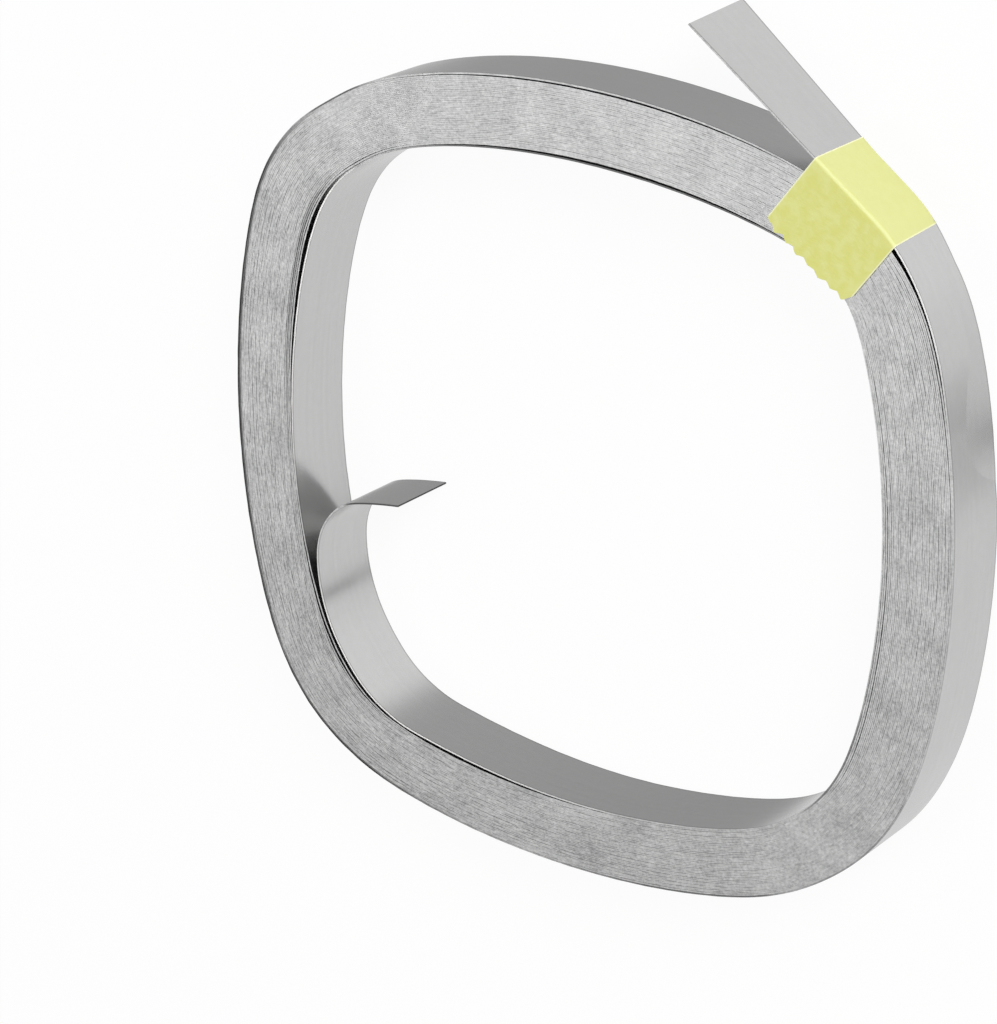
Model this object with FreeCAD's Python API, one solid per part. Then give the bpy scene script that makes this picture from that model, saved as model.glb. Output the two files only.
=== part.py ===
# A coil of thin nickel strip for joining battery cells. It is wound as a rounded square and lies
# on its end. The innermost and outermost turns stand a little off the rest and run out as free
# tails, and one band of masking tape holds the coil at a corner. Sizes are in millimetres.

import FreeCAD, Part
import math
import os

# The strip and how it is wound
STRIP_WIDTH = 8.0
STRIP_THICKNESS = 0.15
TURNS = 41
TURN_PITCH = 0.172
BORE_WIDTH = 66.7
BORE_DEPTH = 64.4
SIDE_RADIUS = (73.0, 76.0, 78.0, 81.0)
SIDE_TURN = (-0.5, -2.5, 1.5, -0.2)
CORNER_RADIUS = (10.5, 16.0, 14.7, 17.1)
CORNER_EASE = (2.7, 0.2, 0.2, 2.3)

# The turns' edges that show on the two ends, a few turns to each stepped band
END_BANDS = 13
BAND_RECESS = (0.06, 0.12, 0.09)

# The outermost turn: where it starts and lifts off, then its bends as radius and end angle
OUTER_TURN_START = 62.0
OUTER_LIFT_OFF = 353.0
OUTER_BENDS = ((88.0, 371.0), (25.0, 401.0), (8.1, 412.1))
OUTER_TAIL = 24.9

# The innermost turn: the bends of its free tail from the wall inwards, and its loose corner
INNER_LIFT_OFF = 257.0
INNER_BENDS = ((16.0, 165.0), (5.2, 100.5))
INNER_TAIL = 5.9
INNER_TURN_END = 555.0
LOOSE_CORNER = 1
LOOSE_CORNER_EXTRA = 1.1

# The masking tape, placed by its middle along the outer tail
TAPE_WIDTH = 10.5
TAPE_THICKNESS = 0.15
TAPE_CLEARANCE = 0.01
TAPE_MIDDLE = 3.2
TAPE_START_DROP = 1.0
TAPE_OVERHANG = 0.6
TOOTH_PITCH = 1.4
TOOTH_DEPTH = 0.35
CORNER_TEAR = 0.5

# Shared edges of the wound turns overlap by this much, so that they join into one solid
JOIN = 0.01

PACK_THICKNESS = TURNS * TURN_PITCH
SIDE_REACH = (BORE_WIDTH / 2, BORE_DEPTH / 2, BORE_WIDTH / 2, BORE_DEPTH / 2)


def direction(angle):
    """The unit vector at an angle in degrees from +X."""
    turn = math.radians(angle)
    return FreeCAD.Vector(math.cos(turn), math.sin(turn), 0)


def tangent_centre(first, first_radius, second, second_radius, radius, between):
    """The centre of an arc that lies inside two circles and touches both, on the side of between."""
    reach_first = first_radius - radius
    reach_second = second_radius - radius
    line = second - first
    span = line.Length
    along = (reach_first ** 2 - reach_second ** 2 + span ** 2) / (2 * span)
    across = math.sqrt(reach_first ** 2 - along ** 2)
    line.normalize()
    side = FreeCAD.Vector(-line.y, line.x, 0)
    choices = [first + line * along + side * across, first + line * along - side * across]
    return max(choices, key=between.dot)


def angle_of(vector, least):
    """The angle of a vector in degrees, as the first such angle above least."""
    angle = math.degrees(math.atan2(vector.y, vector.x))
    while angle < least:
        angle += 360
    return angle


def loop_arcs(grow, loose_extra=0.0):
    """The rounded square at a distance from the bore's wall, as eight tangent arcs.

    Each arc is its centre, radius, and the angles of its outward normal where it starts and ends.
    The corners ease off a parallel outline as the pack grows."""
    share = grow / PACK_THICKNESS
    angles = [90 * side + SIDE_TURN[side] for side in range(4)]
    radii = [radius + grow for radius in SIDE_RADIUS]
    centres = [direction(angles[side]) * (SIDE_REACH[side] - SIDE_RADIUS[side]) for side in range(4)]
    corners = []
    for side in range(4):
        after = (side + 1) % 4
        radius = CORNER_RADIUS[side] + grow + CORNER_EASE[side] * share
        if side == LOOSE_CORNER:
            radius += loose_extra
        between = direction(45 + 90 * side)
        centre = tangent_centre(centres[side], radii[side], centres[after], radii[after], radius, between)
        start = angle_of(centre - centres[side], 90 * side - 10)
        end = angle_of(centre - centres[after], start)
        corners.append((centre, radius, start, end))
    arcs = []
    for side in range(4):
        start = corners[side - 1][3] - (360 if side == 0 else 0)
        arcs.append((centres[side], radii[side], start, corners[side][2]))
        arcs.append(corners[side])
    return arcs


def clipped(arcs, start, end):
    """The part of a closed loop of arcs from one angle to another, which may pass 360 degrees."""
    kept = []
    for turn in (0, 360):
        for centre, radius, first, last in arcs:
            low = max(first + turn, start)
            high = min(last + turn, end)
            if high - low > 1e-6:
                kept.append((centre, radius, low, high))
    return kept


def bend_on(arcs, bends):
    """Adds bends past the last arc, each tangent to the one before and given by radius and end angle."""
    arcs = list(arcs)
    for radius, end in bends:
        centre, before, _, start = arcs[-1]
        arcs.append((centre + direction(start) * (before - radius), radius, start, end))
    return arcs


def bend_back(arcs, bends):
    """Adds bends before the first arc, each tangent to the one after and given by radius and start angle."""
    arcs = list(arcs)
    for radius, start in bends:
        centre, after, end, _ = arcs[0]
        arcs.insert(0, (centre + direction(end) * (after - radius), radius, start, end))
    return arcs


def line_of(arcs, grow=0.0, tail_before=0.0, tail_after=0.0):
    """The edges along a chain of arcs, moved outwards by grow, with a straight tail at either end."""
    edges = []
    centre, radius, start, _ = arcs[0]
    first = centre + direction(start) * (radius + grow)
    if tail_before:
        tip = first - direction(start + 90) * tail_before
        edges.append(Part.LineSegment(tip, first).toShape())
    for centre, radius, start, end in arcs:
        points = [centre + direction(angle) * (radius + grow) for angle in (start, (start + end) / 2, end)]
        edges.append(Part.Arc(*points).toShape())
    if tail_after:
        last = points[-1]
        edges.append(Part.LineSegment(last, last + direction(end + 90) * tail_after).toShape())
    return edges


def ends_of(edges):
    """The first and last point of a chain of edges, which need not all run the same way."""
    wire = Part.Wire(edges)
    points = [vertex.Point for vertex in wire.OrderedVertexes]
    return points[0], points[-1]


def region(edges):
    """The flat face inside a closed chain of edges."""
    return Part.Face(Part.Wire(edges))


def loop_face(grow):
    """Everything inside the rounded square at a distance from the bore's wall."""
    return region(line_of(loop_arcs(grow)))


def ring(inner, outer):
    """The flat ring between two distances from the bore's wall."""
    return loop_face(outer).cut(loop_face(inner))


def strip_face(arcs, inner, outer, tail_before=0.0, tail_after=0.0):
    """One layer of the strip seen from its end: the face between two lines along the same arcs."""
    inside = line_of(arcs, inner, tail_before, tail_after)
    outside = line_of(arcs, outer, tail_before, tail_after)
    inside_first, inside_last = ends_of(inside)
    outside_first, outside_last = ends_of(outside)
    caps = [
        Part.LineSegment(inside_first, outside_first).toShape(),
        Part.LineSegment(inside_last, outside_last).toShape(),
    ]
    return region(Part.__sortEdges__(inside + outside + caps))


def outer_turn_arcs():
    """The outermost turn's outer surface, from its start under the tape to its tail."""
    around = clipped(loop_arcs(PACK_THICKNESS), OUTER_TURN_START, OUTER_LIFT_OFF)
    return bend_on(around, OUTER_BENDS)


def inner_turn_arcs():
    """The innermost turn's inner surface, from its tail round to where the next turn covers it."""
    loop = loop_arcs(0.0, LOOSE_CORNER_EXTRA)
    around = clipped(loop, INNER_LIFT_OFF, INNER_TURN_END)
    return bend_back(around, INNER_BENDS)


def end_recesses():
    """The bands that stand back on both ends, so that the turns show there."""
    first = STRIP_THICKNESS
    step = (PACK_THICKNESS - 2 * STRIP_THICKNESS) / END_BANDS
    cuts = []
    for number, band in enumerate(range(1, END_BANDS - 1, 2)):
        depth = BAND_RECESS[number % len(BAND_RECESS)]
        face = ring(first + step * band, first + step * (band + 1))
        top = face.extrude(FreeCAD.Vector(0, 0, 2 * depth))
        top.translate(FreeCAD.Vector(0, 0, STRIP_WIDTH - depth))
        bottom = face.extrude(FreeCAD.Vector(0, 0, 2 * depth))
        bottom.translate(FreeCAD.Vector(0, 0, -depth))
        cuts += [top, bottom]
    return cuts


def nickel_strip():
    """The whole strip: the wound turns, the two turns that stand off them, and their tails."""
    up = FreeCAD.Vector(0, 0, STRIP_WIDTH)
    wound = ring(STRIP_THICKNESS - JOIN, PACK_THICKNESS - STRIP_THICKNESS + JOIN).extrude(up)
    outermost = strip_face(outer_turn_arcs(), -STRIP_THICKNESS, 0.0, tail_after=OUTER_TAIL).extrude(up)
    innermost = strip_face(inner_turn_arcs(), 0.0, STRIP_THICKNESS, tail_before=INNER_TAIL).extrude(up)
    coil = wound.cut(end_recesses())
    return coil.fuse([outermost, innermost]).removeSplitter().Solids[0]


def tail_frame():
    """Where the outer tail turns straight: that point, its outward normal, and the way it runs."""
    centre, radius, _, angle = outer_turn_arcs()[-1]
    return centre + direction(angle) * radius, direction(angle), direction(angle + 90)


def quad(low_along, high_along, low_out, high_out):
    """A rectangle in the tape's own directions: along the tail, and outwards from the coil's middle."""
    point, out, along = tail_frame()
    base = point - out * point.dot(out)
    corners = [(low_along, low_out), (high_along, low_out), (high_along, high_out), (low_along, high_out)]
    points = [base + along * a + out * b for a, b in corners]
    return Part.Face(Part.makePolygon(points + points[:1]))


def raised(face, grow):
    """A plan made into a block that passes both ends of the strip by grow."""
    block = face.extrude(FreeCAD.Vector(0, 0, STRIP_WIDTH + 2 * grow))
    block.translate(FreeCAD.Vector(0, 0, -grow))
    return block


def under_tape(grow, past=0.0):
    """The stretch of coil that the tape goes round, made larger by grow, and wider by past each way.

    It takes in the pack and the outermost turn, with the wedge between them where that turn stands off."""
    arcs = outer_turn_arcs()[-len(OUTER_BENDS) - 1:]
    outside = line_of(arcs, grow, tail_after=OUTER_TAIL)
    first, last = ends_of(outside)
    middle = FreeCAD.Vector(0, 0, 0)
    sides = [Part.LineSegment(last, middle).toShape(), Part.LineSegment(middle, first).toShape()]
    lifted = region(Part.__sortEdges__(outside + sides))
    pack = loop_face(PACK_THICKNESS + grow)
    half = TAPE_WIDTH / 2 + past
    beyond = 2 * tail_frame()[0].Length
    stretch = quad(TAPE_MIDDLE - half, TAPE_MIDDLE + half, 0.0, beyond)
    blocks = [raised(plan.cut(loop_face(-grow)).common(stretch), grow) for plan in (lifted, pack)]
    return blocks[0].fuse(blocks[1]).removeSplitter()


def edge_distance(arcs, angle):
    """How far a closed loop of arcs reaches in a direction, from the coil's middle."""
    for centre, radius, start, end in arcs:
        if start <= angle <= end:
            return centre.dot(direction(angle)) + radius
    return edge_distance(arcs, angle - 360)


def cut_end():
    """What the tape's torn end leaves open: a block with a row of teeth, over the bore's front edge."""
    point, out, along = tail_frame()
    base = point - out * point.dot(out)
    root = edge_distance(loop_arcs(0.0), outer_turn_arcs()[-1][3]) - TAPE_OVERHANG
    teeth = round(TAPE_WIDTH / TOOTH_PITCH)
    pitch = TAPE_WIDTH / teeth
    start = TAPE_MIDDLE - TAPE_WIDTH / 2
    outline = [(start - pitch, 0.0), (start - pitch, root + CORNER_TEAR), (start, root + CORNER_TEAR)]
    for number in range(teeth):
        outline.append((start + (number + 0.5) * pitch, root - TOOTH_DEPTH))
        outline.append((start + (number + 1) * pitch, root))
    outline[-1] = (start + TAPE_WIDTH, root + CORNER_TEAR)
    outline += [(start + TAPE_WIDTH + pitch, root + CORNER_TEAR), (start + TAPE_WIDTH + pitch, 0.0)]
    points = [base + along * place + out * distance for place, distance in outline]
    block = Part.Face(Part.makePolygon(points + points[:1])).extrude(FreeCAD.Vector(0, 0, STRIP_WIDTH))
    block.translate(FreeCAD.Vector(0, 0, STRIP_WIDTH - TAPE_START_DROP))
    return block


def masking_tape():
    """One turn of tape round the coil's section, from the bore's wall under the coil, up the outside
    and over the front, where its torn end lies at the edge of the bore."""
    inside = under_tape(TAPE_CLEARANCE, past=TAPE_THICKNESS)
    outside = under_tape(TAPE_CLEARANCE + TAPE_THICKNESS)
    return outside.cut(inside).cut(cut_end()).Solids[0]


parts = {"nickel_strip": nickel_strip(), "masking_tape": masking_tape()}

# The origin goes to the middle of the bounding box's underside
box = FreeCAD.BoundBox()
for shape in parts.values():
    box.add(shape.optimalBoundingBox())
shift = FreeCAD.Vector(-box.Center.x, -box.Center.y, -box.ZMin)

os.makedirs("parts", exist_ok=True)
for name, shape in parts.items():
    shape.translate(shift)
    shape.exportStep("parts/" + name + ".step")
    print(name, "solids", len(shape.Solids), "faces", len(shape.Faces), "valid", shape.isValid(),
          "volume", round(shape.Volume, 1))
print("shift", [round(value, 3) for value in shift], "size", round(box.XLength, 2), round(box.YLength, 2),
      round(box.ZLength, 2))
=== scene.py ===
# A coil of thin nickel strip, wound as a rounded square and held by one band of masking tape.
# It lies on its end on a white table. Sizes in the dictionaries are in millimetres.

import math

import bpy
import numpy as np
from mathutils import Matrix, Vector


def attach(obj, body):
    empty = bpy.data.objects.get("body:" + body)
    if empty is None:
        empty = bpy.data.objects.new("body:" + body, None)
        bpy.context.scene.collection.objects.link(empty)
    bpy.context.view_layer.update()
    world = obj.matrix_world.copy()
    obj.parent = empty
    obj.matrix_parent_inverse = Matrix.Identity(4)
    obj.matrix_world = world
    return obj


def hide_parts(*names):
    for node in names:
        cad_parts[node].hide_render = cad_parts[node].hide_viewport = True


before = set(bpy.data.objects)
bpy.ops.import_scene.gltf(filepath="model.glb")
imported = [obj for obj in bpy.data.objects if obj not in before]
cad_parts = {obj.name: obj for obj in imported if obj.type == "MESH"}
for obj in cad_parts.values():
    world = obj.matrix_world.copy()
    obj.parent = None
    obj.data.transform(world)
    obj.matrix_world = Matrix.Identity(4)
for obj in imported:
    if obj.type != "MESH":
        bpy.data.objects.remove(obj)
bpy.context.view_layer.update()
mm = 0.001


def deselectAll():
    if bpy.context.object and bpy.context.object.mode != "OBJECT":
        bpy.ops.object.mode_set(mode="OBJECT")
    bpy.ops.object.select_all(action="DESELECT")


def unit(degrees):
    turn = np.radians(degrees)
    return np.stack([np.cos(turn), np.sin(turn)], -1)


# The coil's outline, as a support function over the outward normal's angle

coil = {
    "stripWidth": 8.0,
    "stripThickness": 0.16,
    "turns": 41,
    "turnPitch": 0.172,
    "boreWidth": 66.7,
    "boreDepth": 64.4,
    "sideRadius": (73.0, 76.0, 78.0, 81.0),
    "sideTurn": (-0.5, -2.5, 1.5, -0.2),
    "cornerRadius": (10.5, 16.0, 14.7, 17.1),
    "cornerEase": (2.7, 0.2, 0.2, 2.3),
    "softening": 4.5,  # degrees over which the sides run into the corners
    "supportStep": 0.25,  # degrees
    "middle": (-0.023, -3.429),
    "underside": 0.16,
    "uvPerMetre": 10,
    "smoothBelow": 35,  # degrees between faces
}
coil["pack"] = coil["turns"] * coil["turnPitch"]


# Eight tangent arcs at a distance from the bore's wall: centre, radius, start and end angle
def arcCentres(grow):
    share = grow / coil["pack"]
    half = (coil["boreWidth"] / 2, coil["boreDepth"] / 2) * 2
    sides = []
    for side in range(4):
        radius = coil["sideRadius"][side]
        centre = unit(90 * side + coil["sideTurn"][side]) * (half[side] - radius)
        sides.append((centre, radius + grow))
    corners = []
    for side in range(4):
        (first, firstRadius), (second, secondRadius) = sides[side], sides[(side + 1) % 4]
        radius = coil["cornerRadius"][side] + grow + coil["cornerEase"][side] * share
        reachA = firstRadius - radius
        reachB = secondRadius - radius
        line = second - first
        span = np.hypot(*line)
        along = (reachA**2 - reachB**2 + span**2) / (2 * span)
        across = math.sqrt(reachA**2 - along**2)
        line = line / span
        square = np.array([-line[1], line[0]])
        between = unit(45 + 90 * side)
        centre = max((first + line * along + square * across * way for way in (1, -1)), key=between.dot)
        start = math.degrees(math.atan2(*(centre - first)[::-1])) % 360
        end = math.degrees(math.atan2(*(centre - second)[::-1])) % 360
        corners.append((centre, radius, start, end))
    arcs = []
    for side in range(4):
        arcs.append((*sides[side], corners[side - 1][3], corners[side][2]))
        arcs.append(corners[side])
    return arcs


# How far the outline reaches at even steps, and its slope, with the arcs run into each other
def softSupport(grow):
    angles = np.arange(0, 360, coil["supportStep"])
    reach = np.zeros(len(angles))
    for centre, radius, start, end in arcCentres(grow):
        inside = ((angles - start) % 360) < ((end - start) % 360)
        reach[inside] = unit(angles[inside]) @ centre + radius
    waves = np.fft.rfft(reach)
    order = np.arange(len(waves))
    waves = waves * np.exp(-0.5 * (order * math.radians(coil["softening"])) ** 2)
    return np.fft.irfft(waves, len(angles)), np.fft.irfft(1j * order * waves, len(angles))


boreSupport = softSupport(0.0)
rimSupport = softSupport(coil["pack"])


# Points of the outline for outward normals at these angles, at these distances from the bore's wall
def outlinePoint(angle, grow):
    place = (np.asarray(angle) % 360) / coil["supportStep"]
    share = np.asarray(grow) / coil["pack"]
    table = np.arange(len(boreSupport[0]) + 1)
    reach, slope = (
        np.interp(place, table, np.append(bore, bore[0])) * (1 - share)
        + np.interp(place, table, np.append(rim, rim[0])) * share
        for bore, rim in zip(boreSupport, rimSupport)
    )
    normal = unit(angle)
    square = unit(np.asarray(angle) + 90)
    return normal * reach[..., None] + square * slope[..., None]


# The strip's course: inner tail, wound turns, outer tail

winding = {
    "liftOffInside": 255.8,
    "insideBends": ((17.2, 178.9), (7.2, 121.0), (2.5, 102.5)),
    "insideTail": 6.1,
    "insideCurl": 0.02,  # reverse bend of the inner tail's tip, in 1/mm
    "curlEasing": 3.0,
    "liftOffOutside": 353.0,
    "outsideBends": ((88.0, 371.0), (25.0, 401.0), (8.1, 412.1)),
    "outsideTail": 24.9,
    "tailTwist": 7.5,
    "twistStart": 6.5,  # mm along the outer tail
    "lean": -0.45,  # how far the lower edge of the lifted turn stands in beside the tape
    "leanFrom": (-30.0, -20.0),
    "leanTo": (-6.5, 2.5),
    "tailEasing": 0.7,  # mm over which one bend runs into the next
    "easingReach": 4,  # how many times that it reaches to each side
    "easedPast": (6.0, 4.0),  # mm of the pack that are eased too, and over how many that fades
    "packStep": 0.1,  # degrees
    "tailStep": 0.1,  # mm
    "spacing": 0.5,  # of the points that the mesh is made from
    # where the strip stands off its neighbours: angle along it, reach, half widths before and after
    "looseTurns": (
        (230, 0.14, 16, 18),
        (259, -0.30, 18, 15),
        (350, -0.06, 36, 40),
        (444, -0.20, 24, 22),
        (484, -0.14, 26, 26),
        (522, -0.58, 38, 26),
        (568, -0.24, 30, 56),
        (710, -0.06, 36, 40),
        (842, -0.07, 22, 22),
        (880, -0.22, 34, 30),
        (1070, -0.06, 36, 40),
        (1240, -0.12, 36, 30),
        (1600, -0.07, 36, 30),
        (1960, -0.03, 36, 30),
        (14414, 0.06, 14, 18),
        (14484, 0.16, 20, 26),
        (14775, -0.19, 22, 22),
    ),
    # where the pack bulges: normal's angle, reach at bore and rim, how fast they fade, half widths
    "bulges": (
        (12, 0.0, 0.14, 3, 17, 18),
        (30, 0.0, 0.25, 5, 24, 30),
        (84, -0.20, -0.24, 1, 17, 20),
        (121, -0.08, -0.16, 4, 15, 15),
        (146, 0.16, 0.38, 1, 28, 28),
        (210, -0.24, 0.0, 9, 34, 34),
        (222, 0.0, 0.10, 1, 24, 24),
        (322, 0.0, 0.12, 1, 18, 18),
        (350, -0.14, 0.0, 9, 36, 40),
    ),
    "bulgesFrom": 600,  # the loose innermost turn keeps clear of the outward ones
    # where painted shade darkens a turn's slit edge: angle, half width, share
    "paintedShadeEdges": (
        (100, 21, 0.9),
        (331, 28, 0.6),
        (446, 30, 0.8),
        (1242, 30, 0.2),
        (1602, 36, 0.4),
        (1962, 24, 0.25),
        (13853, 56, 0.3),
        (14213, 62, 0.8),
        (14268, 40, 0.8),
        (14520, 16, 0.8),
        (14575, 60, 1.0),
        (14628, 48, 1.0),
        (14682, 20, 0.7),
        (14716, 26, 0.4),
    ),
    # where a painted highlight makes it bright
    "paintedHighlightEdges": (
        (228, 62, 1.0),
        (516, 36, 0.85),
        (14790, 26, 0.6),
    ),
    "edgeToneGain": 1.6,
    # waves of the turns' edges along the strip: height, length and phase
    "edgeWaves": (
        (0.013, 83.0, 0.3),
        (0.009, 47.0, 1.9),
        (0.006, 29.3, 4.1),
        (0.005, 17.9, 2.6),
        (0.005, 11.1, 5.2),
        (0.008, 4.3, 0.8),
        (0.008, 2.9, 3.3),
        (0.007, 1.9, 5.0),
    ),
    "calmEnds": (60, 120),  # mm at the inner and the outer end over which those waves rise
    # waves of the gaps between turns, and how fast they rise from both ends
    "gapWaves": ((0.0010, 61.0, 1.1), (0.0007, 33.7, 3.9), (0.0006, 21.3, 0.4)),
    "gapRise": 40,
}


# How much of a bump is left at these angles, from 1 at its centre to 0 at its ends
def hump(angle, centre, before, after):
    away = angle - centre
    share = np.clip(np.where(away < 0, -away / before, away / after), 0, 1)
    return np.cos(share * math.pi / 2) ** 2


# Arcs that leave the pack tangent to it
def freeBends(point, angle, bends, step):
    points = []
    angles = []
    for radius, end in bends:
        centre = point - unit(angle) * radius
        count = max(2, int(abs(math.radians(end - angle)) * radius / step))
        for way in np.linspace(angle, end, count + 1)[1:]:
            points.append(centre + unit(way) * radius)
            angles.append(way)
        point = points[-1]
        angle = end
    return points, angles


# Points along the strip's middle surface, the normal's angle, and the distance from its inner end
def stripCourse():
    lastTurn = 360 * (coil["turns"] - 1)
    start = winding["liftOffInside"]
    end = winding["liftOffOutside"] + lastTurn
    half = coil["stripThickness"] / 2
    angle = np.arange(start, end, winding["packStep"])
    share = (angle - start) / (end - start)
    grow = half + (coil["pack"] - 2 * half) * share
    inPack = np.clip(grow / coil["pack"], 0, 1)
    for centre, atBore, atRim, fade, before, after in winding["bulges"]:
        near = (angle - centre + 180) % 360 - 180
        counts = (angle > winding["bulgesFrom"]) | (atBore < 0)
        reach = atBore * (1 - inPack) ** fade + atRim * inPack**fade
        grow += reach * hump(near, 0, before, after) * counts
    wound = outlinePoint(angle, grow)
    travelled = np.append(0, np.cumsum(np.hypot(*np.diff(wound, axis=0).T)))
    weight = np.clip(np.minimum(share, 1 - share) * winding["gapRise"], 0, 1)
    for height, length, phase in winding["gapWaves"]:
        wave = height * weight * np.sin(travelled / length * 2 * math.pi + phase)
        wound += unit(angle) * wave[:, None]
    step = winding["tailStep"]
    # the outer tail
    bends = [(radius - half, close + lastTurn) for radius, close in winding["outsideBends"]]
    points, angles = freeBends(wound[-1], angle[-1], bends, step)
    run = np.arange(step, winding["outsideTail"] + step / 2, step)
    outTail = points[-1] + unit(angles[-1] + 90) * run[:, None]
    outEnd = np.vstack([points, outTail])
    afterAngles = np.append(angles, np.full(len(run), angles[-1]))
    # the inner tail, made from the pack inwards and then turned round
    bends = [(radius + half, close) for radius, close in winding["insideBends"]]
    points, angles = freeBends(wound[0], angle[0], bends, step)
    run = np.arange(step, winding["insideTail"] + step / 2, step)
    bent = np.degrees(winding["insideCurl"] * run) * np.clip(run / winding["curlEasing"], 0, 1)
    curl = angles[-1] - bent
    inTail = points[-1] + np.cumsum(unit(curl - 90) * step, axis=0)
    inEnd = np.vstack([points, inTail])[::-1]
    beforeAngles = np.append(angles, curl)[::-1]
    path = np.vstack([inEnd, wound, outEnd])
    normals = np.concatenate([beforeAngles, angle, afterAngles])
    for centre, reach, before, after in winding["looseTurns"]:
        path += unit(normals) * (reach * hump(normals, centre, before, after))[:, None]
    # even spacing, then the free bends are eased into each other
    travelled = np.append(0, np.cumsum(np.hypot(*np.diff(path, axis=0).T)))
    count = int(travelled[-1] / winding["spacing"])
    even = np.linspace(0, travelled[-1], count + 1)
    path = np.stack([np.interp(even, travelled, path[:, axis]) for axis in (0, 1)], -1)
    normals = np.interp(even, travelled, normals)
    side = int(winding["easingReach"] * winding["tailEasing"] / winding["spacing"])
    kernel = np.exp(-0.5 * (np.arange(-side, side + 1) * winding["spacing"] / winding["tailEasing"]) ** 2)
    kernel /= kernel.sum()
    steps = np.arange(1, side + 1)[:, None]
    longer = np.vstack(
        [
            path[0] + (path[0] - path[1]) * steps[::-1],
            path,
            path[-1] + (path[-1] - path[-2]) * steps,
        ]
    )
    eased = np.stack([np.convolve(longer[:, axis], kernel, "valid") for axis in (0, 1)], -1)
    beyond, fadeOut = winding["easedPast"]
    inner = np.clip((len(inEnd) * step + beyond - even) / fadeOut, 0, 1)
    outer = np.clip((even - (even[-1] - len(outEnd) * step - beyond)) / fadeOut, 0, 1)
    blend = np.clip(inner + outer, 0, 1)[:, None]
    path = path * (1 - blend) + eased * blend
    return path, normals, even


course, courseAngle, courseLength = stripCourse()
print("strip", len(course), "points, length", round(float(courseLength[-1]) / 1000, 3), "m")


def smooth(value, low, high):
    share = np.clip((value - low) / (high - low), 0, 1)
    return share * share * (3 - 2 * share)


# The strip's turn about its upper edge: the lifted turn's lower edge leans in, the tail's stands out
def courseTwist():
    past = courseLength - (courseLength[-1] - winding["outsideTail"])
    lean = winding["lean"] * smooth(past, *winding["leanFrom"]) * (1 - smooth(past, *winding["leanTo"]))
    run = winding["outsideTail"] - winding["twistStart"]
    out = math.radians(winding["tailTwist"]) * np.clip((past - winding["twistStart"]) / run, 0, 1)
    return np.arcsin(lean / coil["stripWidth"]) + out


def makeStrip():
    points = len(course)
    deselectAll()
    bpy.ops.mesh.primitive_grid_add(x_subdivisions=points - 1, y_subdivisions=1, size=1)
    strip = bpy.context.object
    strip.name = "nickelStrip"
    mesh = strip.data
    flat = np.empty(len(mesh.vertices) * 3)
    mesh.vertices.foreach_get("co", flat)
    flat = flat.reshape(-1, 3)
    number = np.rint((flat[:, 0] + 0.5) * (points - 1)).astype(int)
    upper = flat[:, 1] > 0
    total = courseLength[-1]
    height = np.zeros(points)
    for size, length, phase in winding["edgeWaves"]:
        height += size * np.sin(courseLength / length * 2 * math.pi + phase)
    calmStart, calmEnd = winding["calmEnds"]
    height *= np.clip(courseLength / calmStart, 0, 1) * np.clip((total - courseLength) / calmEnd, 0, 1)
    twist = courseTwist()
    drop = np.where(upper, 0.0, coil["stripWidth"])
    place = course[number] + unit(courseAngle[number]) * (drop * np.sin(twist[number]))[:, None]
    place += np.array(coil["middle"])
    level = coil["underside"] + coil["stripWidth"] - drop * np.cos(twist[number]) + height[number]
    flat[:, :2] = place * mm
    flat[:, 2] = level * mm
    mesh.vertices.foreach_set("co", flat.ravel())
    loops = np.empty(len(mesh.loops), dtype=np.int32)
    mesh.loops.foreach_get("vertex_index", loops)
    uv = np.stack([courseLength[number], np.where(upper, coil["stripWidth"], 0.0)], -1)[loops]
    mesh.uv_layers[0].name = "alongStrip"
    mesh.uv_layers[0].data.foreach_set("uv", (uv * mm * coil["uvPerMetre"]).ravel())
    # how much painted shade each place's edge gets, and how much painted highlight
    paintedShares = []
    for kind in ("paintedShadeEdges", "paintedHighlightEdges"):
        tone = np.zeros(points)
        for centre, width, share in winding[kind]:
            near = np.clip(winding["edgeToneGain"] * hump(courseAngle, centre, width, width), 0, 1)
            tone = np.maximum(tone, share * near)
        paintedShares.append(tone[number])
    edgeUv = mesh.uv_layers.new(name="edgeTone")
    edgeUv.data.foreach_set("uv", np.stack(paintedShares, -1)[loops].ravel())
    mesh.update()
    thickness = strip.modifiers.new("thickness", "SOLIDIFY")
    thickness.thickness = coil["stripThickness"] * mm
    thickness.offset = 0
    thickness.use_even_offset = False
    thickness.material_offset_rim = 1
    mesh.materials.append(rolledNickel())
    mesh.materials.append(slitEdges())
    bpy.ops.object.modifier_apply(modifier=thickness.name)
    bpy.ops.object.mode_set(mode="EDIT")
    bpy.ops.mesh.select_all(action="SELECT")
    bpy.ops.mesh.normals_make_consistent(inside=False)
    bpy.ops.object.mode_set(mode="OBJECT")
    bpy.ops.object.shade_smooth_by_angle(angle=math.radians(coil["smoothBelow"]))
    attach(strip, "root")
    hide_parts("nickel_strip")
    print("strip triangles", sum(len(face.vertices) - 2 for face in strip.data.polygons))


# Materials


def addNode(tree, kind, **values):
    node = tree.nodes.new(kind)
    for name, value in values.items():
        if name.startswith("in_"):
            node.inputs[name[3:]].default_value = value
        else:
            setattr(node, name, value)
    return node


def newMaterial(name):
    material = bpy.data.materials.new(name)
    material.use_nodes = True
    tree = material.node_tree
    return material, tree, tree.nodes["Principled BSDF"]


def noiseNode(tree, source, dimensions, scale, detail, roughness=0.5):
    node = addNode(tree, "ShaderNodeTexNoise", noise_dimensions=dimensions)
    node.inputs["Scale"].default_value = scale
    node.inputs["Detail"].default_value = detail
    node.inputs["Roughness"].default_value = roughness
    tree.links.new(source, node.inputs["Vector"])
    return node.outputs["Fac"]


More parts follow.
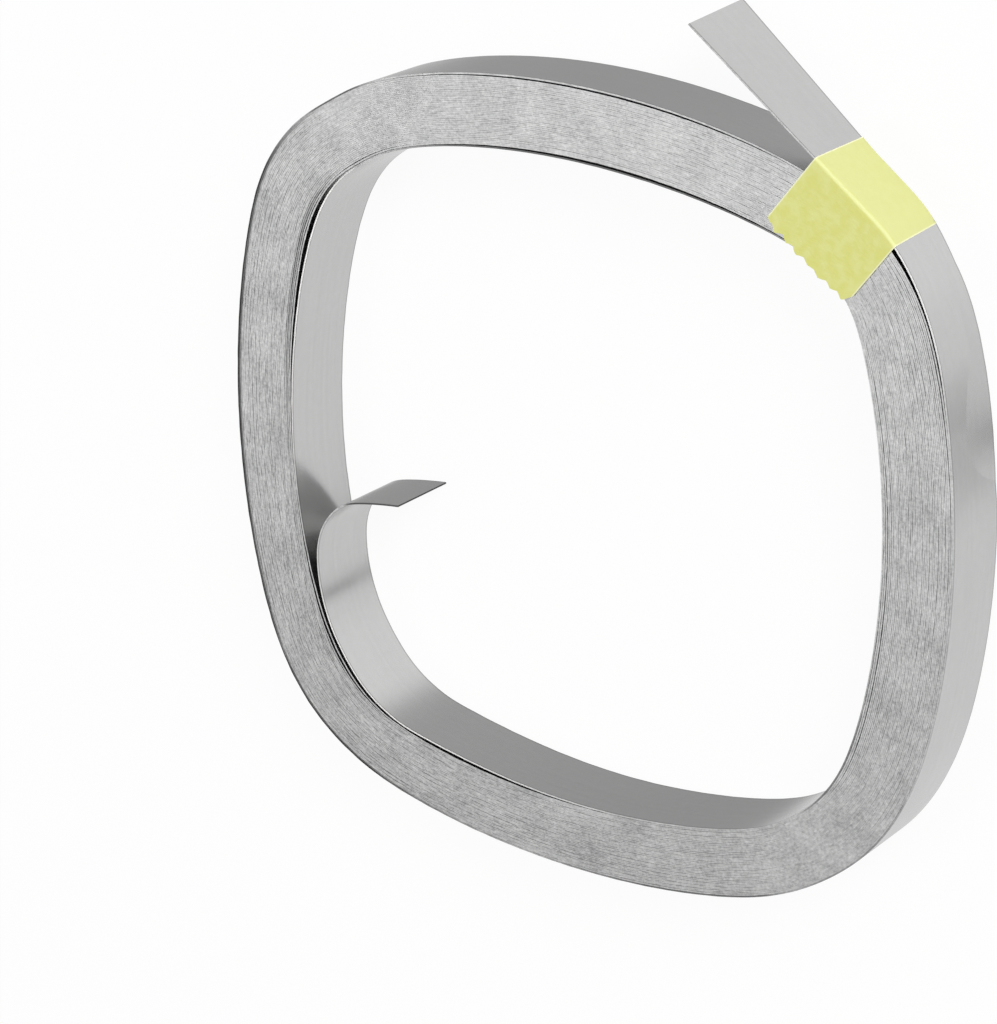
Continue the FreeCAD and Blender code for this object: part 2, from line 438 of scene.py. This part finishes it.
# A number worked out from plain numbers and other nodes' outputs
def mathNode(tree, operation, *values):
    node = addNode(tree, "ShaderNodeMath", operation=operation)
    for socket, value in zip(node.inputs, values):
        if isinstance(value, float):
            socket.default_value = value
        else:
            tree.links.new(value, socket)
    return node.outputs[0]


def rangeNode(tree, source, low, high, lowTo, highTo):
    node = addNode(tree, "ShaderNodeMapRange")
    node.inputs["From Min"].default_value = low
    node.inputs["From Max"].default_value = high
    node.inputs["To Min"].default_value = lowTo
    node.inputs["To Max"].default_value = highTo
    tree.links.new(source, node.inputs["Value"])
    return node.outputs["Result"]


def mixValues(tree, share, first, second):
    node = addNode(tree, "ShaderNodeMix", data_type="FLOAT")
    node.inputs[0].default_value = share
    tree.links.new(first, node.inputs[2])
    tree.links.new(second, node.inputs[3])
    return node.outputs[0]


# The first colour is a plain one or another node's output
def mixColour(tree, factor, first, second):
    node = addNode(tree, "ShaderNodeMix", data_type="RGBA")
    if isinstance(first, tuple):
        node.inputs[6].default_value = (*first, 1)
    else:
        tree.links.new(first, node.inputs[6])
    node.inputs[7].default_value = (*second, 1)
    tree.links.new(factor, node.inputs[0])
    return node.outputs[2]


def splitNode(tree, source):
    node = addNode(tree, "ShaderNodeSeparateXYZ")
    tree.links.new(source, node.inputs[0])
    return node.outputs


def bumpNode(tree, shader, height, depth):
    node = addNode(tree, "ShaderNodeBump", in_Strength=0.5, in_Distance=depth * mm)
    tree.links.new(height, node.inputs["Height"])
    tree.links.new(node.outputs["Normal"], shader.inputs["Normal"])


nickel = {
    "colour": (0.60, 0.60, 0.597),
    "toneSpread": (0.93, 1.05),
    "roughness": (0.18, 0.26),
    "grainStretch": (6.0, 220.0, 1.0),
    "grainRoughness": 0.6,
    "grainSpecks": 120.0,
    "grainSpeckShare": 0.4,
    "grainClouds": 9.0,
    "grainDepth": 0.005,
    "rimBand": (0.18, 0.02),  # mm from the slit edges, on the wall
    "rimShade": 0.5,  # how dark the wall is there
    "edgeDark": (0.29, 0.29, 0.29),
    "edgeLight": (0.62, 0.62, 0.617),
    "edgeRange": (0.34, 0.66),
    # the near-black tone of the painted shade on the slit edges
    "paintedShadeTone": (0.045, 0.045, 0.045),
    # the pale tone of the painted highlight on the slit edges
    "paintedHighlightTone": (0.80, 0.79, 0.78),
    "edgeRoughness": (0.42, 0.55),
    "roughRange": (0.3, 0.7),  # of the noise that the roughness follows, on walls and edges
    "streakScale": 75.0,
    "streakRoughness": 0.65,
    "speckScale": 3600.0,
    "speckShare": 0.5,
    "cloudScale": 260.0,
    "cloudShare": 0.25,
    "burrDepth": 0.02,
}


# Rolling grain: fine lines along a strip. In: place in mm / 100, the specks' scale. Out: grain, cloud
def grainGroup():
    group = bpy.data.node_groups.new("rollingGrain", "ShaderNodeTree")
    group.interface.new_socket("Vector", in_out="INPUT", socket_type="NodeSocketVector")
    fine = group.interface.new_socket("Fine", in_out="INPUT", socket_type="NodeSocketFloat")
    fine.default_value = nickel["grainSpecks"]
    group.interface.new_socket("Grain", in_out="OUTPUT", socket_type="NodeSocketFloat")
    group.interface.new_socket("Cloud", in_out="OUTPUT", socket_type="NodeSocketFloat")
    enter = addNode(group, "NodeGroupInput")
    leave = addNode(group, "NodeGroupOutput")
    stretch = addNode(group, "ShaderNodeMapping", in_Scale=nickel["grainStretch"])
    group.links.new(enter.outputs["Vector"], stretch.inputs["Vector"])
    lines = noiseNode(group, stretch.outputs["Vector"], "2D", 1.0, 4.0, nickel["grainRoughness"])
    specks = addNode(group, "ShaderNodeTexNoise", noise_dimensions="2D", in_Detail=2.0)
    group.links.new(enter.outputs["Vector"], specks.inputs["Vector"])
    group.links.new(enter.outputs["Fine"], specks.inputs["Scale"])
    grain = mixValues(group, nickel["grainSpeckShare"], lines, specks.outputs["Fac"])
    cloud = noiseNode(group, enter.outputs["Vector"], "2D", nickel["grainClouds"], 2.0)
    group.links.new(grain, leave.inputs["Grain"])
    group.links.new(cloud, leave.inputs["Cloud"])


def rolledNickel():
    material, tree, shader = newMaterial("rolledNickel")
    shader.inputs["Metallic"].default_value = 1.0
    place = addNode(tree, "ShaderNodeUVMap", uv_map="alongStrip")
    grain = addNode(tree, "ShaderNodeGroup", node_tree=bpy.data.node_groups["rollingGrain"])
    tree.links.new(place.outputs["UV"], grain.inputs["Vector"])
    dark, light = (tuple(value * factor for value in nickel["colour"]) for factor in nickel["toneSpread"])
    tone = mixColour(tree, grain.outputs["Grain"], dark, light)
    half = coil["stripWidth"] / 2
    across = splitNode(tree, place.outputs["UV"])["Y"]
    offMiddle = mathNode(tree, "SUBTRACT", across, half * mm * coil["uvPerMetre"])
    fromMiddle = mathNode(tree, "ABSOLUTE", offMiddle)
    band = [(half - depth) * mm * coil["uvPerMetre"] for depth in nickel["rimBand"]]
    shaded = addNode(tree, "ShaderNodeVectorMath", operation="SCALE")
    tree.links.new(tone, shaded.inputs[0])
    tree.links.new(rangeNode(tree, fromMiddle, *band, 1.0, nickel["rimShade"]), shaded.inputs["Scale"])
    tree.links.new(shaded.outputs["Vector"], shader.inputs["Base Color"])
    rough = rangeNode(tree, grain.outputs["Cloud"], *nickel["roughRange"], *nickel["roughness"])
    tree.links.new(rough, shader.inputs["Roughness"])
    bumpNode(tree, shader, grain.outputs["Grain"], nickel["grainDepth"])
    return material


def slitEdges():
    material, tree, shader = newMaterial("slitEdges")
    shader.inputs["Metallic"].default_value = 1.0
    along = addNode(tree, "ShaderNodeUVMap", uv_map="alongStrip").outputs["UV"]
    where = addNode(tree, "ShaderNodeTexCoord").outputs["Object"]
    streaks = noiseNode(tree, along, "2D", nickel["streakScale"], 4.0, nickel["streakRoughness"])
    specks = noiseNode(tree, where, "3D", nickel["speckScale"], 2.0)
    clouds = noiseNode(tree, where, "3D", nickel["cloudScale"], 2.0)
    speckled = mixValues(tree, nickel["speckShare"], streaks, specks)
    marks = mixValues(tree, nickel["cloudShare"], speckled, clouds)
    spread = rangeNode(tree, marks, *nickel["edgeRange"], 0.0, 1.0)
    tone = mixColour(tree, spread, nickel["edgeDark"], nickel["edgeLight"])
    shares = splitNode(tree, addNode(tree, "ShaderNodeUVMap", uv_map="edgeTone").outputs["UV"])
    # painted shade: the first share darkens the slit edges towards black
    shadedEdge = mixColour(tree, shares["X"], tone, nickel["paintedShadeTone"])
    # painted highlight: the second share lightens the slit edges
    highlightedEdge = mixColour(tree, shares["Y"], shadedEdge, nickel["paintedHighlightTone"])
    tree.links.new(highlightedEdge, shader.inputs["Base Color"])
    rough = rangeNode(tree, marks, *nickel["roughRange"], *nickel["edgeRoughness"])
    tree.links.new(rough, shader.inputs["Roughness"])
    bumpNode(tree, shader, marks, nickel["burrDepth"])
    return material


tapePaper = {
    "colour": (0.72, 0.72, 0.215),
    "pale": (0.75, 0.76, 0.28),
    "paleRange": (0.35, 0.65),
    "mottleScale": 0.9,
    # painted sheen: the band is paler before the front's fold, where it covers the outer wall
    "outside": (0.73, 0.745, 0.335),
    "paintedSheenShare": 0.75,
    "paintedSheenFade": 0.4,  # mm before the front's fold, over which the painted sheen fades out
    # painted highlight along the front's fold
    "foldHighlight": (0.81, 0.83, 0.38),
    "foldHighlightWidth": (0.06, 0.22),
    # painted highlight along the band's side edges
    "rim": (0.90, 0.91, 0.58),
    "edgeHighlightWidth": (0.16, 0.06),
    "roughness": 0.55,
    "specular": 0.35,
    "crepeScale": 1.2,
    "crepeStretch": (2.2, 1.0, 1.0),
    "crepeDepth": 0.05,
}


# UVs in mm: from the front's fold on, and across the band
def maskingPaper():
    material, tree, shader = newMaterial("maskingPaper")
    shader.inputs["Roughness"].default_value = tapePaper["roughness"]
    shader.inputs["Specular IOR Level"].default_value = tapePaper["specular"]
    place = addNode(tree, "ShaderNodeUVMap", uv_map="alongTape").outputs["UV"]
    mottle = noiseNode(tree, place, "2D", tapePaper["mottleScale"], 4.0)
    spread = rangeNode(tree, mottle, *tapePaper["paleRange"], 0.0, 1.0)
    tone = mixColour(tree, spread, tapePaper["colour"], tapePaper["pale"])
    split = splitNode(tree, place)
    # painted sheen on the band before the front's fold, paler than the front
    sheenOnWall = rangeNode(tree, split["X"], -tapePaper["paintedSheenFade"], 0.0, tapePaper["paintedSheenShare"], 0.0)
    sheened = mixColour(tree, sheenOnWall, tone, tapePaper["outside"])
    # painted highlight: paler along the front's fold
    fromFold = mathNode(tree, "ABSOLUTE", split["X"])
    foldHighlight = rangeNode(tree, fromFold, *tapePaper["foldHighlightWidth"], 1.0, 0.0)
    foldHighlighted = mixColour(tree, foldHighlight, sheened, tapePaper["foldHighlight"])
    # painted highlight: paler towards the band's side edges
    fromMiddle = mathNode(tree, "ABSOLUTE", mathNode(tree, "SUBTRACT", split["Y"], tape["middle"]))
    rim = [tape["width"] / 2 - inset for inset in tapePaper["edgeHighlightWidth"]]
    edgeHighlighted = mixColour(tree, rangeNode(tree, fromMiddle, *rim, 0.0, 1.0), foldHighlighted, tapePaper["rim"])
    tree.links.new(edgeHighlighted, shader.inputs["Base Color"])
    stretch = addNode(tree, "ShaderNodeMapping", in_Scale=tapePaper["crepeStretch"])
    tree.links.new(place, stretch.inputs["Vector"])
    crepe = noiseNode(tree, stretch.outputs["Vector"], "2D", tapePaper["crepeScale"], 3.0)
    bumpNode(tree, shader, crepe, tapePaper["crepeDepth"])
    return material


# The masking tape

tape = {
    "width": 10.5,
    "thickness": 0.12,
    "clearance": 0.02,
    "middle": 3.2,
    "startDrop": 1.0,
    "overhang": 0.32,
    "toothPitch": 1.4,
    "toothDepth": 0.38,
    "toothWaves": ((0.06, 2.3, 0.7), (0.04, 5.1, 0.0)),  # their unevenness: height, rate and phase
    "cornerCuts": ((0.55, 0.5), (0.35, 3.0)),  # at both corners and at the first one: depth and width
    "slant": 0.39,  # how far one side of the band draws in by the lower end of the outer wall
    "foldRadius": 0.30,
    "foldRows": 7,
    "runSteps": (20, 24, 26, 26),  # on the bore's wall, underneath, on the outer wall and on the front
    "columns": 96,
    "coursePoints": 60,  # of the strip's course before the straight tail, under the band
    "boreArc": (5, 100, 400),  # the bore's wall under the band: normals' angles, number of points
    "smoothBelow": 50,  # degrees between faces
}


# How far out a line of points lies at places along the tail
def edgeAcross(points, base, along, out, places, grow):
    forward = (points - base) @ along
    outward = points @ out + grow
    order = np.argsort(forward)
    return np.interp(places, forward[order], outward[order])


def makeTape():
    out = unit(courseAngle[-1])
    along = unit(courseAngle[-1] + 90)
    tangent = len(course) - 1 - int(round(winding["outsideTail"] / winding["spacing"]))
    base = course[tangent]
    columns = tape["columns"]
    half = tape["width"] / 2
    places = np.linspace(tape["middle"] - half, tape["middle"] + half, columns + 1)
    upperEdge = course[tangent - tape["coursePoints"] :]
    normals = unit(courseAngle[tangent - tape["coursePoints"] :])
    twist = courseTwist()[tangent - tape["coursePoints"] :]
    lowerEdge = upperEdge + normals * (coil["stripWidth"] * np.sin(twist))[:, None]
    outerWall = edgeAcross(upperEdge, base, along, out, places, coil["stripThickness"] / 2)
    outerFoot = edgeAcross(lowerEdge, base, along, out, places, coil["stripThickness"] / 2)
    boreAngles = np.linspace(*tape["boreArc"])
    boreWall = edgeAcross(outlinePoint(boreAngles, 0 * boreAngles), base, along, out, places, 0.0)
    # the torn end's teeth, cut by the dispenser a little unevenly
    middleBore = float(np.interp(0.0, places, boreWall))
    phase = (places - places[0]) / tape["toothPitch"]
    tooth = np.abs((phase % 1.0) * 2 - 1)
    uneven = sum(height * np.sin(places * rate + offset) for height, rate, offset in tape["toothWaves"])
    torn = middleBore - tape["overhang"] - tape["toothDepth"] * (1 - tooth) + uneven
    edge = np.minimum(places - places[0], places[-1] - places)
    for (depth, width), inset in zip(tape["cornerCuts"], (edge, places - places[0])):
        torn += depth * np.clip(1 - inset / width, 0, 1)
    # the band's section: how far out each column lies, and the level, for every row
    low = coil["underside"]
    high = low + coil["stripWidth"]
    gap = tape["clearance"] + tape["thickness"] / 2
    fold = tape["foldRadius"]
    rows = []

    def addFold(outLevel, upLevel, fromAngle, toAngle):
        corner = math.radians((fromAngle + toAngle) / 2)
        centreOut = outLevel - np.sign(math.cos(corner)) * fold
        centreUp = upLevel - np.sign(math.sin(corner)) * fold
        for way in np.radians(np.linspace(fromAngle, toAngle, tape["foldRows"])):
            rows.append((centreOut + fold * math.cos(way), centreUp + fold * math.sin(way)))

    def addRun(fromOut, fromUp, toOut, toUp, steps):
        for share in np.linspace(0, 1, steps + 1)[1:-1]:
            rows.append((fromOut + (toOut - fromOut) * share, fromUp + (toUp - fromUp) * share))

    inside = boreWall - gap
    outside = outerWall + gap
    foot = outerFoot + gap
    bottom = low - gap
    top = high + gap
    start = high - tape["startDrop"]
    insideSteps, bottomSteps, outsideSteps, frontSteps = tape["runSteps"]
    rows.append((inside, start))
    addRun(inside, start, inside, bottom + fold, insideSteps)
    addFold(inside, bottom, 180, 270)
    addRun(inside + fold, bottom, foot - fold, bottom, bottomSteps)
    addFold(foot, bottom, 270, 360)
    addRun(foot, bottom + fold, outside, top - fold, outsideSteps)
    addFold(outside, top, 0, 90)
    frontFold = len(rows) - 1 - tape["foldRows"] // 2
    addRun(outside - fold, top, torn, top, frontSteps)
    rows.append((torn, top))
    deselectAll()
    bpy.ops.mesh.primitive_grid_add(x_subdivisions=columns, y_subdivisions=len(rows) - 1, size=1)
    band = bpy.context.object
    band.name = "maskingTape"
    mesh = band.data
    flat = np.empty(len(mesh.vertices) * 3)
    mesh.vertices.foreach_get("co", flat)
    flat = flat.reshape(-1, 3)
    column = np.rint((flat[:, 0] + 0.5) * columns).astype(int)
    row = np.rint((flat[:, 1] + 0.5) * (len(rows) - 1)).astype(int)
    outs = np.array([line[0] for line in rows])
    levels = np.array([line[1] for line in rows])
    away = outs[row, column]
    level = levels[row]
    # the outer wall draws in sideways towards its lower end
    isOuter = away > ((boreWall + outerWall) / 2)[column]
    drop = np.clip((high - level) / (high - low), 0, 1) * isOuter
    drawn = tape["slant"] * drop * (1 - column / columns)
    plan = base + along * (places[column] + drawn)[:, None] + out * (away - base @ out)[:, None]
    plan += np.array(coil["middle"])
    flat[:, :2] = plan * mm
    flat[:, 2] = level * mm
    mesh.vertices.foreach_set("co", flat.ravel())
    travelled = np.append(0, np.cumsum(np.hypot(np.diff(outs[:, columns // 2]), np.diff(levels))))
    travelled -= travelled[frontFold]
    loops = np.empty(len(mesh.loops), dtype=np.int32)
    mesh.loops.foreach_get("vertex_index", loops)
    uv = np.stack([travelled[row], places[column]], -1)[loops]
    mesh.uv_layers[0].name = "alongTape"
    mesh.uv_layers[0].data.foreach_set("uv", uv.ravel())
    mesh.update()
    thickness = band.modifiers.new("thickness", "SOLIDIFY")
    thickness.thickness = tape["thickness"] * mm
    thickness.offset = 0
    mesh.materials.append(maskingPaper())
    bpy.ops.object.modifier_apply(modifier=thickness.name)
    bpy.ops.object.mode_set(mode="EDIT")
    bpy.ops.mesh.select_all(action="SELECT")
    bpy.ops.mesh.normals_make_consistent(inside=False)
    bpy.ops.object.mode_set(mode="OBJECT")
    bpy.ops.object.shade_smooth_by_angle(angle=math.radians(tape["smoothBelow"]))
    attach(band, "root")
    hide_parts("masking_tape")
    print("tape triangles", sum(len(face.vertices) - 2 for face in band.data.polygons))


grainGroup()
makeStrip()
makeTape()


# Table, light and camera

studio = {
    "tableSize": 6.0,  # metres
    "tableTone": (0.93, 0.93, 0.925),
    "tableRoughness": 0.8,
    "tableSpecular": 0.1,
    "cameraShare": 0.93,  # how far the camera sees the table as plain white
    "worldFill": 0.50,
    # what the metal sees round it: place round the horizon as a share of a turn from -X, and brightness
    "tent": (
        (0.000, 0.47),
        (0.030, 0.60),
        (0.062, 1.02),
        (0.100, 0.84),
        (0.160, 0.80),
        (0.340, 0.88),
        (0.500, 0.88),
        (0.560, 0.98),
        (0.662, 1.06),
        (0.716, 0.95),
        (0.752, 0.58),
        (0.790, 0.54),
        (0.860, 0.47),
        (0.925, 0.43),
        (0.972, 0.40),
        (1.000, 0.47),
    ),
    "tentTop": 0.71,
    "tentRise": (-0.25, 0.3),  # heights between which the panels go over into the top
    # a dark bar low in the tent: heights of its ends, their places round the horizon, half width and edge
    "bar": ((-0.84, -0.731), (-0.43, -0.09), (0.02, 0.08), 0.30),
}

lamps = (
    # name, place in metres, size, power, tone
    ("keyLight", (0.474, 0.474, 0.436), 0.35, 3.2, (1.0, 1.0, 0.99)),
    ("topLight", (-0.38, -0.07, 0.81), 0.36, 1.4, (0.995, 1.0, 1.0)),
)


def mixShaders(tree, factor, first, second):
    node = addNode(tree, "ShaderNodeMixShader")
    tree.links.new(factor, node.inputs["Fac"])
    tree.links.new(first, node.inputs[1])
    tree.links.new(second, node.inputs[2])
    return node.outputs["Shader"]


def makeTable():
    deselectAll()
    bpy.ops.mesh.primitive_plane_add(size=studio["tableSize"], location=(0, 0, 0))
    table = bpy.context.object
    table.name = "table"
    table.visible_glossy = False  # metal sees the pale tent round it instead
    material, tree, shader = newMaterial("whiteTable")
    shader.inputs["Base Color"].default_value = (*studio["tableTone"], 1)
    shader.inputs["Roughness"].default_value = studio["tableRoughness"]
    shader.inputs["Specular IOR Level"].default_value = studio["tableSpecular"]
    path = addNode(tree, "ShaderNodeLightPath")
    seen = mathNode(tree, "MULTIPLY", path.outputs["Is Camera Ray"], studio["cameraShare"])
    glow = addNode(tree, "ShaderNodeEmission", in_Strength=1.0)
    both = mixShaders(tree, seen, shader.outputs["BSDF"], glow.outputs["Emission"])
    tree.links.new(both, tree.nodes["Material Output"].inputs["Surface"])
    table.data.materials.append(material)


def makeLight():
    world = bpy.data.worlds.new("studio")
    bpy.context.scene.world = world
    world.use_nodes = True
    tree = world.node_tree
    fill = tree.nodes["Background"]
    fill.inputs["Color"].default_value = (1, 1, 1, 1)
    fill.inputs["Strength"].default_value = studio["worldFill"]
    path = addNode(tree, "ShaderNodeLightPath")
    # the tent that metal reflects: brighter and darker soft panels round the horizon, even overhead
    where = addNode(tree, "ShaderNodeTexCoord")
    split = splitNode(tree, where.outputs["Generated"])
    around = mathNode(tree, "ARCTAN2", split["Y"], split["X"])
    panels = addNode(tree, "ShaderNodeValToRGB")
    tree.links.new(rangeNode(tree, around, -math.pi, math.pi, 0.0, 1.0), panels.inputs["Fac"])
    ramp = panels.color_ramp
    ramp.interpolation = "B_SPLINE"
    while len(ramp.elements) < len(studio["tent"]):
        ramp.elements.new(1.0)
    for stop, (position, tone) in zip(ramp.elements, studio["tent"]):
        stop.position = position
        stop.color = (tone, tone, tone, 1)
    heights, places, widths, barTone = studio["bar"]
    apart = mathNode(tree, "SUBTRACT", around, rangeNode(tree, split["Z"], *heights, *places))
    barShade = rangeNode(tree, mathNode(tree, "ABSOLUTE", apart), *widths, barTone, 1.0)
    barred = addNode(tree, "ShaderNodeVectorMath", operation="SCALE")
    tree.links.new(panels.outputs["Color"], barred.inputs[0])
    tree.links.new(barShade, barred.inputs["Scale"])
    upward = rangeNode(tree, split["Z"], *studio["tentRise"], 0.0, 1.0)
    tent = mixColour(tree, upward, barred.outputs["Vector"], (studio["tentTop"],) * 3)
    sheen = addNode(tree, "ShaderNodeBackground", in_Strength=1.0)
    tree.links.new(tent, sheen.inputs["Color"])
    white = addNode(tree, "ShaderNodeBackground", in_Strength=1.0, in_Color=(1, 1, 1, 1))
    metal = mixShaders(
        tree, path.outputs["Is Glossy Ray"], fill.outputs["Background"], sheen.outputs["Background"]
    )
    direct = mathNode(tree, "MAXIMUM", path.outputs["Is Camera Ray"], path.outputs["Is Transmission Ray"])
    seen = mixShaders(tree, direct, metal, white.outputs["Background"])
    tree.links.new(seen, tree.nodes["World Output"].inputs["Surface"])
    for name, place, size, power, tone in lamps:
        bpy.ops.object.light_add(type="AREA", location=place)
        lamp = bpy.context.object
        lamp.name = name
        lamp.data.shape = "DISK"
        lamp.data.size = size
        lamp.data.energy = power
        lamp.data.color = tone
        lamp.visible_camera = False
        aim = Vector((0, 0, 0)) - Vector(place)
        lamp.rotation_euler = aim.to_track_quat("-Z", "Y").to_euler()


view = {
    "place": (171.054, 110.291, 258.233),
    "right": (0.8144, -0.0093, -0.5803),
    "up": (-0.2000, 0.9342, -0.2956),
    "lens": 120.83,
    "sensor": 36,
    "clip": (0.01, 20),  # metres
}


def makeCamera():
    bpy.ops.object.camera_add()
    camera = bpy.context.object
    camera.name = "camera"
    right = Vector(view["right"]).normalized()
    up = Vector(view["up"])
    up = (up - right * up.dot(right)).normalized()
    back = right.cross(up)
    turn = Matrix((right, up, back)).transposed().to_4x4()
    camera.matrix_world = Matrix.Translation(Vector(view["place"]) * mm) @ turn
    camera.data.lens = view["lens"]
    camera.data.sensor_width = view["sensor"]
    camera.data.clip_start, camera.data.clip_end = view["clip"]
    bpy.context.scene.camera = camera


makeTable()
makeLight()
makeCamera()
bpy.context.scene.view_settings.view_transform = "Standard"
print("scene ready")
